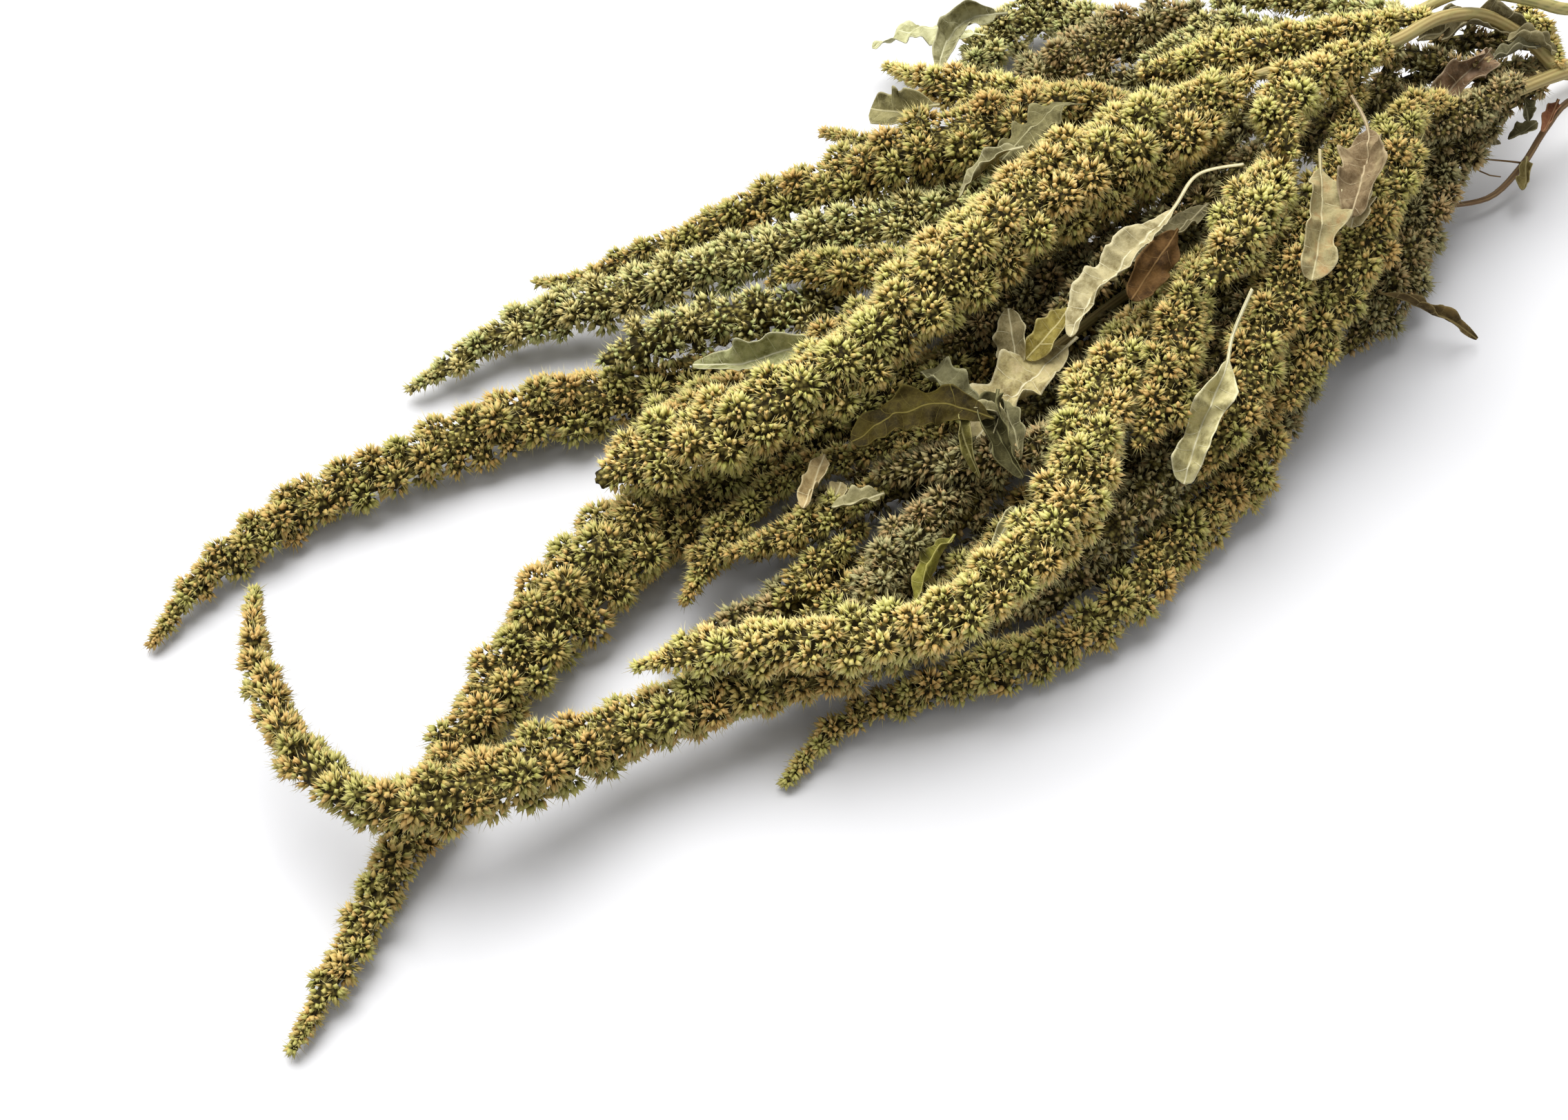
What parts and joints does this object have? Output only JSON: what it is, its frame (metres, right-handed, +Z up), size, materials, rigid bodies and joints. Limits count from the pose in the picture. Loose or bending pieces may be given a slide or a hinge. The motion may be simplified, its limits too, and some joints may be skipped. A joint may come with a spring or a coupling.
{
  "type": "dried amaranth bunch",
  "caption": "A cut bunch of dried trailing amaranth lying on its side: rope-like tassels of small bristly flower clusters and curled dry leaves, fanned out from slender stems.",
  "frame": {"origin": "on the surface that the bunch lies on, at the middle of the bunch's outline", "axes": "+X runs from the tips of the tassels to the cut ends of the stems, +Z points up from the surface, and +Y points to the side that is at the back in the picture"},
  "size_m": [0.6071, 0.2271, 0.0779],
  "materials": {
    "tassel_olive": "dry bristly florets, olive green and straw",
    "tassel_straw": "dry bristly florets, yellow-green and straw",
    "tassel_grey_green": "dry bristly florets, grey-green",
    "tassel_brown": "dry bristly florets, brownish olive",
    "leaf_green": "dry matte leaf, pale grey-green with pale veins",
    "leaf_tan": "dry matte leaf, tan with pale veins",
    "leaf_brown": "dry matte leaf, brown",
    "leaf_olive": "dry matte leaf, dark olive",
    "leaf_grey": "dry matte leaf, grey",
    "stem_straw": "ribbed dry stem, straw with green streaks",
    "stem_green": "ribbed dry stem, yellow-green",
    "stem_russet": "thin dry stem, reddish brown"
  },
  "bodies": {
    "root": {"stem_main": "stem_straw", "stem_arch": "stem_green", "stem_under": "stem_straw", "stem_side": "stem_russet", "tassel_left_long": "tassel_olive", "tassel_left_thin": "tassel_grey_green", "tassel_back_thick": "tassel_olive", "tassel_centre_top": "tassel_straw", "tassel_centre_under": "tassel_olive", "tassel_front_floor": "tassel_olive", "tassel_front_long": "tassel_olive", "tassel_front_top": "tassel_straw", "tassel_near_edge": "tassel_olive", "tassel_hollow_right": "tassel_brown", "tassel_hollow_mid": "tassel_brown", "tassel_hollow_floor": "tassel_brown", "tassel_hollow_left": "tassel_olive", "tassel_hollow_tip": "tassel_olive", "tassel_right_crest": "tassel_straw", "tassel_right_blunt": "tassel_straw", "tassel_right_inner": "tassel_olive", "tassel_right_long": "tassel_olive", "tassel_right_side": "tassel_olive", "tassel_near_stems": "tassel_brown", "tassel_near_low": "tassel_brown", "tassel_ridge": "tassel_straw", "tassel_back_short": "tassel_straw", "tassel_far_floor": "tassel_grey_green", "tassel_far_thick": "tassel_brown", "tassel_far_inner": "tassel_grey_green", "tassel_far_crest": "tassel_grey_green", "tassel_far_tip": "tassel_olive", "tassel_inner_right": "tassel_brown", "tassel_inner_edge": "tassel_brown", "tassel_inner_top": "tassel_brown", "tassel_inner_low": "tassel_brown", "tassel_far_low": "tassel_olive", "tassel_hollow_back": "tassel_olive", "tassel_hollow_dark": "tassel_grey_green", "leaf_centre_fold": "leaf_green", "leaf_big": "leaf_tan", "leaf_long": "leaf_tan", "leaf_long_shade": "leaf_brown", "leaf_right": "leaf_green", "leaf_crest": "leaf_green", "leaf_pale": "leaf_tan", "leaf_brown_curl": "leaf_brown", "leaf_olive_curl": "leaf_olive", "leaf_back_square": "leaf_olive", "leaf_grey_narrow": "leaf_grey", "leaf_yellow_curl": "leaf_olive", "leaf_floor_bit": "leaf_tan", "leaf_far_edge": "leaf_green", "leaf_far_curl": "leaf_green", "leaf_near_thin": "leaf_brown", "leaf_grey_fold": "leaf_grey", "leaf_stem_crumple": "leaf_brown", "leaf_shadow": "leaf_grey", "leaf_side_stem": "leaf_green"}
  },
  "joints": []
}
